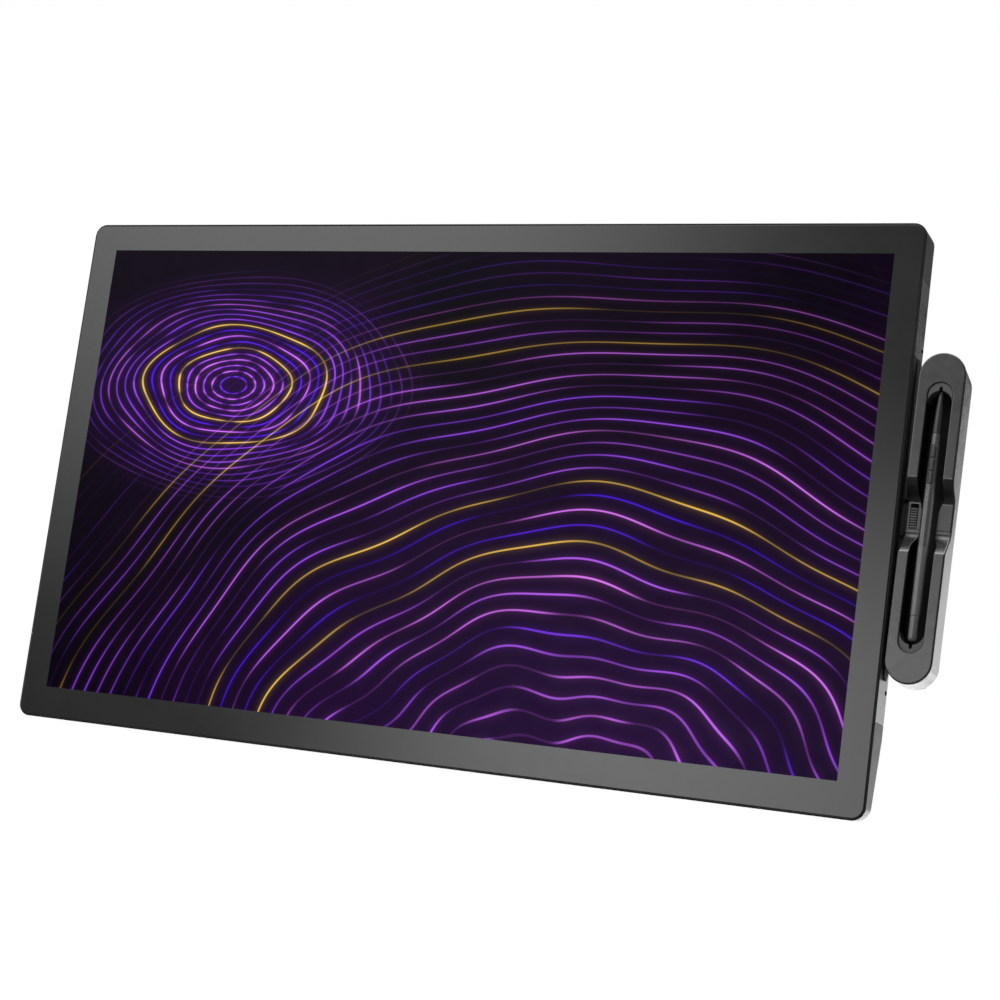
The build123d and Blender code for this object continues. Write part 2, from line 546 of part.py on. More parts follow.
def turned(pts):
    """A solid of revolution about the pen's axis from (z, radius) points."""
    w = [(0.0, pts[0][0])] + [(r, z) for z, r in pts] + [(0.0, pts[-1][0])]
    f = Plane(origin=(TRAY_X, Y(PEN_D), 0), x_dir=(1, 0, 0), z_dir=(0, -1, 0)) * make_face(Polyline(*w, close=True))
    return revolve(f, Axis((TRAY_X, Y(PEN_D), 0), (0, 0, 1)), 360)


def radius_at(z):
    for (a, ra), (b, rb) in zip(PEN, PEN[1:]):
        if b <= z <= a:
            return ra + (rb - ra) * (a - z) / (a - b)
    return PEN[-1][1]


def section(z1, z0, off=0.0):
    pts = [(z1, radius_at(z1) + off)] + [(z, r + off) for z, r in PEN if z0 < z < z1] + [(z0, radius_at(z0) + off)]
    return turned(pts)


ax = (TRAY_X, PEN_D)
CONE_Z, CAP_Z = 54.0, -60.7
cone = section(79.2, CONE_Z) - rod_z(*ax, 0.95, 60, 85) - rod_z(*ax, 1.7, CONE_Z - 1, 66)
keep("pen_cone", LEAN * cone)
barrel = section(CONE_Z, CAP_Z) - rod_z(*ax, 1.7, CAP_Z - 1, CONE_Z + 1)
SWITCH = [("upper", 46.6, 38.6), ("middle", 38.2, 30.2), ("lower", 29.8, 21.8)]
SW_FRONT = PEN_D - 2.1
barrel -= box(TRAY_X - 1.7, TRAY_X + 1.7, 0, SW_FRONT, 21.5, 46.9)
keep("pen_barrel", LEAN * barrel)
for nm, z1, z0 in SWITCH:
    sw = section(z1, z0, 0.3) & box(TRAY_X - 1.5, TRAY_X + 1.5, 0, SW_FRONT - 0.5, z0, z1)
    keep("pen_switch_" + nm, LEAN * sw)
cap = section(CAP_Z, PEN_Z0) - rod_z(*ax, 1.5, -70, CAP_Z + 1)
keep("pen_tail_cap", LEAN * cap)
nib = rod_z(*ax, 0.85, 62.0, 80.4) + Pos(TRAY_X, Y(PEN_D), 80.2) * Sphere(0.8)
keep("pen_nib", LEAN * nib)
circuit = box(TRAY_X - 1.5, TRAY_X + 1.5, PEN_D - 0.35, PEN_D + 0.35, -50, 46) + rod_z(*ax, 1.5, 46.0, 59.0)
keep("pen_circuit", LEAN * circuit)

# ---------------------------------------------------------------- write
if len(NODES) > 60:
    raise SystemExit("too many nodes")
for name, shape in NODES.items():
    export_step(shape, f"parts/{name}.step")
print(len(NODES), "nodes")
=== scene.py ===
import math
import bpy
import bmesh
from mathutils import Matrix, Vector


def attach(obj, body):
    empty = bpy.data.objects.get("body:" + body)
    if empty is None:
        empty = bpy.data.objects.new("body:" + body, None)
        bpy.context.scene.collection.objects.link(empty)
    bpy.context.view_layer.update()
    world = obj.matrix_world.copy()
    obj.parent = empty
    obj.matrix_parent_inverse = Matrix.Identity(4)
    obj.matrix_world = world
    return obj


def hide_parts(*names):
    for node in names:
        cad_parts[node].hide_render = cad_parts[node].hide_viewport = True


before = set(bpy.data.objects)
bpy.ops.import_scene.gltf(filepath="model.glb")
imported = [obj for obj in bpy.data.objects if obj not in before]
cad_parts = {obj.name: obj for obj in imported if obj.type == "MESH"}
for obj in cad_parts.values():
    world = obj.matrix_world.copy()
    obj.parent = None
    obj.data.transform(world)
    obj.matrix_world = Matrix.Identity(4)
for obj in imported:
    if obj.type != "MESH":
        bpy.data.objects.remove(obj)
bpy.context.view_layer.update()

scene = bpy.context.scene
scene.view_settings.view_transform = "Standard"
scene.view_settings.look = "None"
MM = 0.001

# ---------------------------------------------------------------- sizes shared with the CAD model, mm
THICK = 31.0
GLASS_W, GLASS_H, GLASS_R, GLASS_T = 635.2, 376.2, 7.6, 1.3
SCREEN_W, SCREEN_H, SCREEN_X, SCREEN_Z = 596.7, 335.7, 1.3, 1.25
TRAY_X, TRAY_Z, TRAY_W, TRAY_L = 336.5, 1.0, 29.0, 208.4
TILT = math.radians(0.8)
SLOT_R, SLOT_Z0, SLOT_Z1, WAIST = 7.8, -84.0, 86.4, 4.9
TOP_T, DIP = 1.8, 11.8
CATCH_X = TRAY_X - 9.8
ACC_D, ACC_Z = 21.2, (-108.2, 111.1)
PEN_D = 3.9
CONE_Z, CAP_Z = 54.0, -60.7
PEN = [
    (79.2, 1.35), (76.0, 1.8), (69.0, 2.3), (62.0, 2.6), (54.0, 2.8), (44.0, 3.0), (30.0, 3.1), (20.5, 3.2),
    (8.0, 3.3), (-4.0, 3.35), (-16.0, 3.3), (-34.0, 3.2), (-50.0, 3.15), (-62.0, 3.05), (-74.6, 2.95), (-76.2, 2.2),
]

# ---------------------------------------------------------------- camera
cam_data = bpy.data.cameras.new("camera")
cam_data.sensor_width = 36.0
cam_data.lens = 70.08836
cam_data.shift_x, cam_data.shift_y = 0.026238, 0.051195
cam_data.clip_start, cam_data.clip_end = 0.05, 60.0
cam = bpy.data.objects.new("camera", cam_data)
scene.collection.objects.link(cam)
right, up, back = (0.905069, 0.404125, 0.132409), (-0.068407, -0.168953, 0.983247), (0.419726, -0.898965, -0.125269)
place = (0.58962, -1.218547, -0.207058)
cam.matrix_world = Matrix([[right[i], up[i], back[i], place[i]] for i in range(3)] + [[0, 0, 0, 1]])
scene.camera = cam


# ---------------------------------------------------------------- small expression language over shader nodes
class Num:
    """A number in a node tree."""

    def __init__(self, tree, sock):
        self.t, self.s = tree, sock

    def f(self, op, *o, clamp=False):
        n = self.t.nodes.new("ShaderNodeMath")
        n.operation, n.use_clamp = op, clamp
        for i, v in enumerate((self, *o)):
            if isinstance(v, Num):
                self.t.links.new(v.s, n.inputs[i])
            else:
                n.inputs[i].default_value = v
        return Num(self.t, n.outputs[0])

    def __add__(self, o): return self.f("ADD", o)
    def __radd__(self, o): return self.f("ADD", o)
    def __sub__(self, o): return self.f("SUBTRACT", o)
    def __rsub__(self, o): return (self * -1.0) + o
    def __mul__(self, o): return self.f("MULTIPLY", o)
    def __rmul__(self, o): return self.f("MULTIPLY", o)
    def __truediv__(self, o): return self.f("DIVIDE", o)
    def __rtruediv__(self, o): return self.pow(-1.0) * o
    def sin(self): return self.f("SINE")
    def sqrt(self): return self.f("SQRT")
    def abs(self): return self.f("ABSOLUTE")
    def floor(self): return self.f("FLOOR")
    def fract(self): return self.f("FRACT")
    def exp(self): return self.f("EXPONENT")
    def pow(self, e): return self.f("POWER", e)
    def min(self, o): return self.f("MINIMUM", o)
    def max(self, o): return self.f("MAXIMUM", o)
    def atan2(self, o): return self.f("ARCTAN2", o)
    def asin(self): return self.f("ARCSINE")
    def over(self, o): return self.f("GREATER_THAN", o)

    def ramp(self, a, b, lo=0.0, hi=1.0):
        """Smooth step from a to b."""
        n = self.t.nodes.new("ShaderNodeMapRange")
        n.interpolation_type = "SMOOTHSTEP"
        self.t.links.new(self.s, n.inputs["Value"])
        for k, v in zip(("From Min", "From Max", "To Min", "To Max"), (a, b, lo, hi)):
            n.inputs[k].default_value = v
        return Num(self.t, n.outputs["Result"])


def xyz(tree, sock):
    n = tree.nodes.new("ShaderNodeSeparateXYZ")
    tree.links.new(sock, n.inputs[0])
    return [Num(tree, o) for o in n.outputs]


def mix(tree, fac, a, b):
    """Colour mix. a and b are sockets or RGB."""
    n = tree.nodes.new("ShaderNodeMix")
    n.data_type = "RGBA"
    if isinstance(fac, Num):
        tree.links.new(fac.s, n.inputs[0])
    else:
        n.inputs[0].default_value = fac
    for i, c in ((6, a), (7, b)):
        if isinstance(c, (tuple, list)):
            n.inputs[i].default_value = (*c, 1.0)
        else:
            tree.links.new(c, n.inputs[i])
    return n.outputs[2]


def add(tree, a, b):
    n = tree.nodes.new("ShaderNodeVectorMath")
    n.operation = "ADD"
    tree.links.new(a, n.inputs[0])
    tree.links.new(b, n.inputs[1])
    return n.outputs[0]


def scale(tree, col, k):
    n = tree.nodes.new("ShaderNodeVectorMath")
    n.operation = "SCALE"
    if isinstance(col, (tuple, list)):
        n.inputs[0].default_value = col
    else:
        tree.links.new(col, n.inputs[0])
    if isinstance(k, Num):
        tree.links.new(k.s, n.inputs["Scale"])
    else:
        n.inputs["Scale"].default_value = k
    return n.outputs[0]


def noise(tree, vec, sc, detail=2.0, rough=0.5, dims="3D", w=None, distortion=0.0):
    n = tree.nodes.new("ShaderNodeTexNoise")
    n.noise_dimensions = dims
    if vec is not None:
        tree.links.new(vec, n.inputs["Vector"])
    if w is not None:
        tree.links.new(w.s, n.inputs["W"])
    n.inputs["Scale"].default_value = sc
    n.inputs["Detail"].default_value = detail
    n.inputs["Roughness"].default_value = rough
    n.inputs["Distortion"].default_value = distortion
    return Num(tree, n.outputs["Fac"])


# ---------------------------------------------------------------- studio: world, floor, lamps
world = bpy.data.worlds.new("studio")
scene.world = world
world.use_nodes = True
wt = world.node_tree
wt.nodes.clear()
coord = wt.nodes.new("ShaderNodeTexCoord")
dx, dy, dz = xyz(wt, coord.outputs["Generated"])
az = dx.atan2(dy * -1.0) * 57.29578
el = dz.asin() * 57.29578
front = (dy * -1.0).ramp(-0.15, 0.15)
box_a = az.ramp(-14.5, -27.0) * az.ramp(-50.0, -34.0) * el.ramp(1.5, 16.5) * el.ramp(44.0, 34.0) * 2.9
box_b = az.ramp(-32.0, -21.5) * az.ramp(4.0, -21.0) * el.ramp(-8.0, 1.0) * el.ramp(13.5, 4.0) * 3.7
box_t = az.ramp(-60.0, -40.0) * az.ramp(40.0, 15.0) * el.ramp(22.0, 30.0) * el.ramp(52.0, 40.0) * 1.5
box_l = az.ramp(-128.0, -108.0) * az.ramp(-52.0, -70.0) * el.ramp(-18.0, -4.0) * el.ramp(60.0, 40.0) * 2.2
rear = dy.ramp(0.1, 0.6)
horizon = rear * (el.ramp(15.0, 1.0) * 0.80 - 0.04)
rear_l = az.ramp(-165.0, -150.0) * az.ramp(-112.0, -128.0) * el.ramp(14.0, 28.0) * el.ramp(72.0, 58.0) * 2.2
zenith = el.ramp(58, 74) * 5.5
rear_r = az.ramp(112.0, 128.0) * az.ramp(160.0, 146.0) * el.ramp(20.0, 32.0) * el.ramp(68.0, 54.0) * 1.6
box_r = az.ramp(60.0, 80.0) * az.ramp(122.0, 104.0) * el.ramp(-16.0, -3.0) * el.ramp(46.0, 28.0) * 0.6
seen = box_r + box_a + box_b + box_t + box_l + horizon + rear_l + rear_r + zenith + 0.10
path = wt.nodes.new("ShaderNodeLightPath")
is_cam = Num(wt, path.outputs["Is Camera Ray"])
is_dif = Num(wt, path.outputs["Is Diffuse Ray"])
amount = seen * (1.0 - is_cam) + is_cam * 1.0 + is_dif * 0.55
bg = wt.nodes.new("ShaderNodeBackground")
bg.inputs["Color"].default_value = (1.0, 1.0, 1.0, 1.0)
wt.links.new(amount.s, bg.inputs["Strength"])
wo = wt.nodes.new("ShaderNodeOutputWorld")
wt.links.new(bg.outputs[0], wo.inputs[0])

bm = bmesh.new()
bmesh.ops.create_circle(bm, cap_ends=True, radius=2.2, segments=96)
me = bpy.data.meshes.new("floor")
bm.to_mesh(me)
bm.free()
floor = bpy.data.objects.new("floor", me)
floor.location = (0.0, 2.45, -0.46)
scene.collection.objects.link(floor)
fm = bpy.data.materials.new("studio_floor")
fm.use_nodes = True
fb = fm.node_tree.nodes["Principled BSDF"]
fb.inputs["Base Color"].default_value = (0.93, 0.93, 0.93, 1.0)
fb.inputs["Roughness"].default_value = 0.8
fb.inputs["Specular IOR Level"].default_value = 0.2
fn = noise(fm.node_tree, None, 3.0, 3.0)
fm.node_tree.links.new(fn.ramp(0.2, 0.8, 0.72, 0.88).s, fb.inputs["Roughness"])
me.materials.append(fm)


def lamp(name, loc, aim, size, power, glossy=False):
    ld = bpy.data.lights.new(name, "AREA")
    ld.shape = "RECTANGLE"
    ld.size, ld.size_y = size
    ld.energy = power
    o = bpy.data.objects.new(name, ld)
    o.location = loc
    o.rotation_euler = (Vector(aim) - Vector(loc)).to_track_quat("-Z", "Y").to_euler()
    o.visible_glossy = glossy
    o.visible_camera = False
    scene.collection.objects.link(o)
    return o


lamp("lamp_floor", (0.0, 2.0, 2.6), (0.0, 2.0, -0.46), (3.2, 3.2), 60.0)
lamp("lamp_key", (-1.5, -1.7, 1.3), (0.0, 0.0, 0.0), (1.1, 1.1), 9.0)
lamp("lamp_rear", (-1.2, 1.9, 1.2), (0.0, 0.0, 0.0), (1.1, 1.1), 14.0)


# ---------------------------------------------------------------- materials
def material(name, color, rough, metal=0.0, spec=0.5, fine=0.12, fine_scale=2600.0, coarse=None, edge=0.25, bevel=0.25, var=0.10,
             rvar=0.06, sheen=0.0, brushed=None, ior=1.5):
    """A moulded or machined surface: base colour with slight unevenness, fine texture, rounded and slightly worn edges."""
    m = bpy.data.materials.new(name)
    m.use_nodes = True
    t = m.node_tree
    p = t.nodes["Principled BSDF"]
    p.inputs["Metallic"].default_value = metal
    p.inputs["Specular IOR Level"].default_value = spec
    p.inputs["IOR"].default_value = ior
    if sheen:
        p.inputs["Sheen Weight"].default_value = sheen
        p.inputs["Sheen Roughness"].default_value = 0.5
    tc = t.nodes.new("ShaderNodeTexCoord")
    pos = tc.outputs["Object"]
    big = noise(t, pos, 14.0, 4.0, 0.6)
    mid = noise(t, pos, 160.0, 3.0, 0.55)
    lo = [c * (1.0 - var) for c in color]
    hi = [min(1.0, c * (1.0 + var)) for c in color]
    col = mix(t, big.ramp(0.25, 0.75), lo, hi)
    if bevel:
        bv = t.nodes.new("ShaderNodeBevel")
        bv.samples = 4
        bv.inputs["Radius"].default_value = bevel * MM
        geo = t.nodes.new("ShaderNodeNewGeometry")
        dot = t.nodes.new("ShaderNodeVectorMath")
        dot.operation = "DOT_PRODUCT"
        t.links.new(bv.outputs[0], dot.inputs[0])
        t.links.new(geo.outputs["Normal"], dot.inputs[1])
        worn = (1.0 - Num(t, dot.outputs["Value"])).ramp(0.02, 0.25) * mid.ramp(0.35, 0.65, 0.35, 1.0)
        light = [min(1.0, c + edge * (0.35 if metal < 0.5 else 0.5) * (1.0 - c)) for c in color]
        col = mix(t, worn * edge, col, light)
    t.links.new(col, p.inputs["Base Color"])
    r = (big * 0.6 + mid * 0.4).ramp(0.3, 0.7, max(0.02, rough - rvar), min(1.0, rough + rvar))
    t.links.new(r.s, p.inputs["Roughness"])
    if brushed:
        mp = t.nodes.new("ShaderNodeMapping")
        mp.inputs["Scale"].default_value = brushed
        t.links.new(pos, mp.inputs["Vector"])
        h = noise(t, mp.outputs[0], 1.0, 3.0, 0.6)
    else:
        h = noise(t, pos, fine_scale, 2.0, 0.6)
    if coarse:
        vo = t.nodes.new("ShaderNodeTexVoronoi")
        vo.feature = "SMOOTH_F1"
        vo.inputs["Scale"].default_value = coarse
        t.links.new(pos, vo.inputs["Vector"])
        h = h * 0.5 + Num(t, vo.outputs["Distance"])
    b = t.nodes.new("ShaderNodeBump")
    b.inputs["Strength"].default_value = fine
    b.inputs["Distance"].default_value = 0.0002
    t.links.new(h.s, b.inputs["Height"])
    if bevel:
        t.links.new(bv.outputs[0], b.inputs["Normal"])
    t.links.new(b.outputs[0], p.inputs["Normal"])
    return m


MATS = {
    "dark_plastic": material("surround_plastic", (0.030, 0.030, 0.031), 0.34, fine=0.10, edge=0.15),
    "back_plastic": material("rear_plastic", (0.030, 0.030, 0.032), 0.46, fine=0.35, coarse=900.0, edge=0.2, bevel=0.35),
    "rail_metal": material("rail_metal", (0.38, 0.38, 0.385), 0.28, metal=1.0, fine=0.12, edge=0.3, fine_scale=3500.0),
    "steel": material("steel", (0.52, 0.52, 0.54), 0.28, metal=1.0, brushed=(9000.0, 260.0, 260.0), edge=0.3),
    "black_steel": material("black_steel", (0.028, 0.028, 0.029), 0.36, metal=0.3, fine=0.15, edge=0.35),
    "sheet_metal": material("sheet_metal", (0.60, 0.61, 0.62), 0.34, metal=1.0, brushed=(300.0, 300.0, 6000.0), edge=0.2),
    "circuit_board": material("solder_mask", (0.012, 0.075, 0.040), 0.32, fine=0.2, coarse=420.0, edge=0.1, var=0.25),
    "cable_film": material("cable_film", (0.55, 0.30, 0.06), 0.30, fine=0.1, edge=0.1),
    "grip_rubber": material("grip_rubber", (0.020, 0.020, 0.020), 0.72, fine=0.5, coarse=1500.0, edge=0.15, bevel=0.4, sheen=0.15),
    "key_plastic": material("key_plastic", (0.022, 0.022, 0.023), 0.38, fine=0.2, edge=0.2, bevel=0.3),
    "socket_metal": material("socket_metal", (0.55, 0.54, 0.52), 0.24, metal=1.0, brushed=(260.0, 260.0, 5000.0), edge=0.2, bevel=0.15),
    "tray_dark": material("tray_plastic", (0.011, 0.011, 0.0115), 0.24, spec=0.85, fine=0.12, edge=0.1),
    "tray_silver": material("tray_wall", (0.70, 0.70, 0.695), 0.30, metal=1.0, fine=0.10, edge=0.2),
    "pen_plastic": material("pen_plastic", (0.042, 0.042, 0.042), 0.30, spec=1.0, fine=0.2, edge=0.1, bevel=0.15),
    "pen_cone_plastic": material("pen_cone_plastic", (0.020, 0.020, 0.020), 0.32, spec=0.6, fine=0.2, edge=0.1, bevel=0.15),
    "pen_tail_plastic": material("pen_tail_plastic", (0.060, 0.060, 0.060), 0.32, spec=1.0, fine=0.2, edge=0.1, bevel=0.15),
    "seat_black": material("seat_black", (0.006, 0.006, 0.0062), 0.55, spec=0.15, fine=0.15, edge=0.05),
    "nib_plastic": material("nib_plastic", (0.045, 0.045, 0.046), 0.45, fine=0.15, edge=0.1, bevel=0.15),
    "panel_film": material("panel_film", (0.012, 0.010, 0.016), 0.25, fine=0.05, edge=0.1),
    "acrylic": material("acrylic", (0.75, 0.78, 0.79), 0.12, fine=0.03, edge=0.1),
    "white_film": material("white_film", (0.82, 0.82, 0.82), 0.6, fine=0.1, edge=0.05),
    "etched_glass": material("border_glass", (0.015, 0.0152, 0.016), 0.13, fine=0.05, fine_scale=5200.0, edge=0.1, bevel=0.0, var=0.05, rvar=0.02),
}
for node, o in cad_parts.items():
    for sl in o.material_slots:
        base = sl.material.name.split(".")[0] if sl.material else ""
        if base in MATS:
            sl.link = "OBJECT"
            sl.material = MATS[base]


def pen_trough_material():
    """Silver outside, black inside the wall: one moulded part with a dark lining, told apart by distance from the outer wall."""
    m = material("tray_body_two_tone", (0.70, 0.70, 0.695), 0.30, metal=1.0, fine=0.10, edge=0.2)
    t = m.node_tree
    p = t.nodes["Principled BSDF"]
    out = t.nodes["Material Output"]
    tc = t.nodes.new("ShaderNodeTexCoord")
    x, y, z = xyz(t, tc.outputs["Object"])
    base = p.inputs["Base Color"].links[0].from_socket
    # the silver is painted darker towards the bottom end, down to 0.13 below z -99 mm: painted shade that tones down
    # the bright reflection there
    t.links.new(scale(t, base, (z * 1000.0).ramp(-99.0, -87.0, 0.13, 1.0)), p.inputs["Base Color"])
    zc = z - TRAY_Z * MM
    xc = x - TRAY_X * MM - zc * math.tan(TILT)
    k = (TRAY_L - TRAY_W) / 2 * MM
    dzz = (zc.abs() - k).max(0.0)
    dist = (xc * xc + dzz * dzz).sqrt()
    inside = dist.ramp((TRAY_W / 2 - 1.0) * MM, (TRAY_W / 2 - 1.2) * MM)
    d = t.nodes.new("ShaderNodeBsdfPrincipled")
    d.inputs["Base Color"].default_value = (0.006, 0.006, 0.006, 1.0)
    d.inputs["Specular IOR Level"].default_value = 0.2
    rn = noise(t, tc.outputs["Object"], 300.0, 2.0)
    t.links.new(rn.ramp(0.3, 0.7, 0.55, 0.7).s, d.inputs["Roughness"])
    ms = t.nodes.new("ShaderNodeMixShader")
    t.links.new(inside.s, ms.inputs[0])
    t.links.new(p.outputs[0], ms.inputs[1])
    t.links.new(d.outputs[0], ms.inputs[2])
    t.links.new(ms.outputs[0], out.inputs[0])
    return m


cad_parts["tray_body"].material_slots[0].material = pen_trough_material()
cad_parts["tray_mount_plate"].material_slots[0].material = MATS["seat_black"]


def depth_of(t):
    tc = t.nodes.new("ShaderNodeTexCoord")
    x, y, z = xyz(t, tc.outputs["Object"])
    return x * 1000.0, y * 1000.0 + THICK, z * 1000.0, tc


def over_dark(m, mask_of, color=(0.006, 0.006, 0.006), spec=0.25):
    """A second, dark and dull layer laid over a material where the mask is one: a real dark finish in some uses,
    painted shade in others.
    """
    t = m.node_tree
    p = t.nodes["Principled BSDF"]
    x, d, z, tc = depth_of(t)
    mask = mask_of(x, d, z)
    q = t.nodes.new("ShaderNodeBsdfPrincipled")
    q.inputs["Base Color"].default_value = (*color, 1.0)
    q.inputs["Specular IOR Level"].default_value = spec
    t.links.new(noise(t, tc.outputs["Object"], 300.0, 2.0).ramp(0.3, 0.7, 0.5, 0.62).s, q.inputs["Roughness"])
    ms = t.nodes.new("ShaderNodeMixShader")
    t.links.new(mask.s, ms.inputs[0])
    t.links.new(p.outputs[0], ms.inputs[1])
    t.links.new(q.outputs[0], ms.inputs[2])
    t.links.new(ms.outputs[0], t.nodes["Material Output"].inputs[0])


def rail_lip_and_shade_mask(x, d, z):
    edge = d.ramp(1.3, 0.9)
    # inside each accessory hole the rail is painted dark: painted shade in the recess
    for h in ACC_Z:
        dd, dz_ = (d - ACC_D).abs(), (z - h).abs()
        inside = (2.95 - dd).over(0.0) * (1.62 - dz_).over(0.0) * (318.9 - x.abs()).over(0.0)
        edge = edge.max(inside)
    # painted shadow: the rail's side beside the tray's mounting plate and behind the tray's dip is painted dark, for
    # the shade the tray casts there
    tray_shadow = ((z + 101.5).over(0.0) * (103.5 - z).over(0.0) * (18.5 - d).over(0.0)).max((z + 28.0).over(0.0) * (32.0 - z).over(0.0))
    return edge.max(tray_shadow * x.over(0.0))


# the rail's dark front lip, with painted shade in the accessory holes and painted shadow where the tray shades the rail
over_dark(MATS["rail_metal"], rail_lip_and_shade_mask, (0.008, 0.008, 0.0085), 0.2)
over_dark(MATS["dark_plastic"], lambda x, d, z: d.ramp(1.3, 0.9), (0.008, 0.008, 0.0085), 0.2)


def tray_rim(x, d, z):
    """The outer rim of the tray's front plate, apart from the side that faces the screen."""
    zc = z - TRAY_Z
    xc = x - TRAY_X - zc * math.tan(TILT)
    dzz = (zc.abs() - (TRAY_L - TRAY_W) / 2).max(0.0)
    dist = (xc * xc + dzz * dzz).sqrt()
    return dist.ramp(TRAY_W / 2 - 0.55, TRAY_W / 2 - 0.3) * xc.ramp(-11.5, -9.5)


# the rib crests keep a lighter grey, a painted highlight, and everything deeper than the crests is painted dark,
# painted shade in the valleys
MATS["catch_ribs_painted_light"] = material("catch_ribs_painted_light", (0.075, 0.075, 0.076), 0.30, spec=1.0, fine=0.10, edge=0.1, bevel=0.1)
over_dark(MATS["catch_ribs_painted_light"], lambda x, d, z: d.ramp(11.40, 11.55), (0.006, 0.006, 0.006), 0.2)
MATS["tray_rim"] = material("tray_plastic_rimmed", (0.011, 0.011, 0.0115), 0.24, spec=0.85, fine=0.12, edge=0.1)
over_dark(MATS["tray_rim"], tray_rim, (0.010, 0.010, 0.0105), 0.25)


def screen_material():
    """The lit picture: ripples of thin glowing lines round two centres, on dark plum."""
    m = bpy.data.materials.new("lit_picture")
    m.use_nodes = True
    t = m.node_tree
    p = t.nodes["Principled BSDF"]
    p.inputs["Base Color"].default_value = (0.0, 0.0, 0.0, 1.0)
    p.inputs["Specular IOR Level"].default_value = 0.03
    tc = t.nodes.new("ShaderNodeTexCoord")
    pos = tc.outputs["Object"]
    x, _, z = xyz(t, pos)
    u, v = x * 1000.0 - SCREEN_X, z * 1000.0 - SCREEN_Z

    def hash1(k, seed):
        n = t.nodes.new("ShaderNodeTexWhiteNoise")
        n.noise_dimensions = "1D"
        t.links.new((k + seed).s, n.inputs["W"])
        return Num(t, n.outputs["Value"])

    def lines(q, k, spacing, hw, glow):
        d = ((q - k) - 0.5).abs() * spacing
        core = (d / hw).ramp(1.25, 0.55)
        halo = (d / (hw * -2.6)).exp() * glow
        return core, halo

    def tint(k, seed, mixer):
        a, b = hash1(k, seed), hash1(k, seed + 41.0)
        c = mix(t, a, (0.060, 0.006, 0.62), (0.30, 0.045, 0.86))
        c = mix(t, mixer * a, c, (0.78, 0.20, 0.92))
        return mix(t, b.over(0.84), c, (0.86, 0.53, 0.075))

    # wide arcs round a centre below the lower right edge
    cu, cv = u - 120.0, (v + 262.0) * 1.12
    r = (cu * cu + cv * cv).sqrt()
    th = cv.atan2(cu)
    wave = (th * 7.0 + r * 0.021).sin() * 5.5 + (th * 17.0 - r * 0.012).sin() * 1.8
    rw = (r + wave).max(1.0)
    q = (rw / 100.0).pow(1.5) * 3.6
    k = q.floor()
    spacing = 185.0 / rw.sqrt()
    hw = 11.0 / rw.sqrt()
    core, halo = lines(q, k, spacing, hw, 0.11)
    along = noise(t, None, 1.0, 1.0, 0.5, "1D", th * 2.3 + k * 7.31)
    lit = along.ramp(0.34, 0.70, 0.06, 0.85) * r.ramp(520.0, 330.0) * th.ramp(0.12, 0.55, 0.15, 1.0)
    c1 = scale(t, tint(k, 3.0, th.sin()), (core + halo) * lit)

    # close rings round a centre in the upper left, dying out
    cu2, cv2 = u + 176.0, (v - 66.0) * 1.75
    r2 = (cu2 * cu2 + cv2 * cv2).sqrt()
    th2 = cv2.atan2(cu2)
    r2w = r2 + (th2 * 5.0 - r2 * 0.05).sin() * 2.6 * r2.ramp(10.0, 90.0)
    q2 = r2w / 7.4
    k2 = q2.floor()
    core2, halo2 = lines(q2, k2, 7.4, 0.74, 0.14)
    along2 = noise(t, None, 1.0, 1.0, 0.5, "1D", th2 * 1.7 + k2 * 5.17)
    lit2 = along2.ramp(0.28, 0.62, 0.2, 1.15) * r2.ramp(158.0, 60.0) * r2.ramp(4.0, 12.0)
    c2 = scale(t, tint(k2, 11.0, along2), (core2 + halo2) * lit2)

    # points of light
    vo = t.nodes.new("ShaderNodeTexVoronoi")
    vo.inputs["Scale"].default_value = 26.0
    t.links.new(pos, vo.inputs["Vector"])
    spot = Num(t, vo.outputs["Distance"]).ramp(0.034, 0.010)
    hue = xyz(t, vo.outputs["Color"])
    c3 = scale(t, mix(t, hue[0], (0.35, 0.08, 0.9), (0.95, 0.75, 0.95)), spot * hue[1].ramp(0.55, 0.95) * 0.9)

    glow = noise(t, pos, 5.0, 2.0, 0.5)
    bgc = mix(t, glow.ramp(0.35, 0.75), (0.0022, 0.0006, 0.0040), (0.0070, 0.0010, 0.0120))
    core_glow = scale(t, (0.020, 0.0022, 0.046), r2.ramp(190.0, 0.0) * 0.8 + r.ramp(420.0, 60.0) * 0.55)
    total = add(t, add(t, add(t, bgc, core_glow), add(t, c1, c2)), c3)
    t.links.new(total, p.inputs["Emission Color"])
    p.inputs["Emission Strength"].default_value = 1.0
    rn = noise(t, pos, 60.0, 2.0)
    t.links.new(rn.ramp(0.3, 0.7, 0.22, 0.28).s, p.inputs["Roughness"])
    return m


# ---------------------------------------------------------------- mesh helpers, mm with depth behind the glass front
def place_pt(x, d, z, lean=False):
    if lean:
        c, s = math.cos(TILT), math.sin(TILT)
        dx_, dz_ = x - TRAY_X, z - TRAY_Z
        x, z = TRAY_X + dx_ * c + dz_ * s, TRAY_Z - dx_ * s + dz_ * c
    return (x * MM, (d - THICK) * MM, z * MM)


def piece(name, pts, faces, body, mats, node=None, lean=False, idx=None, angle=32.0, recalc=True):
    me_ = bpy.data.meshes.new(name)
    me_.from_pydata([place_pt(*p_, lean) for p_ in pts], [], faces)
    for m_ in mats:
        me_.materials.append(m_)
    if idx:
        for f_, i_ in zip(me_.polygons, idx):
            f_.material_index = i_
    b_ = bmesh.new()
    b_.from_mesh(me_)
    bmesh.ops.remove_doubles(b_, verts=b_.verts, dist=1e-7)
    if recalc:
        bmesh.ops.recalc_face_normals(b_, faces=b_.faces)
    b_.to_mesh(me_)
    b_.free()
    for f_ in me_.polygons:
        f_.use_smooth = True
    me_.set_sharp_from_angle(angle=math.radians(angle))
    o_ = bpy.data.objects.new(name, me_)
    scene.collection.objects.link(o_)
    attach(o_, body)
    if node:
        for n_ in (node if isinstance(node, (list, tuple)) else [node]):
            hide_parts(n_)
    return o_


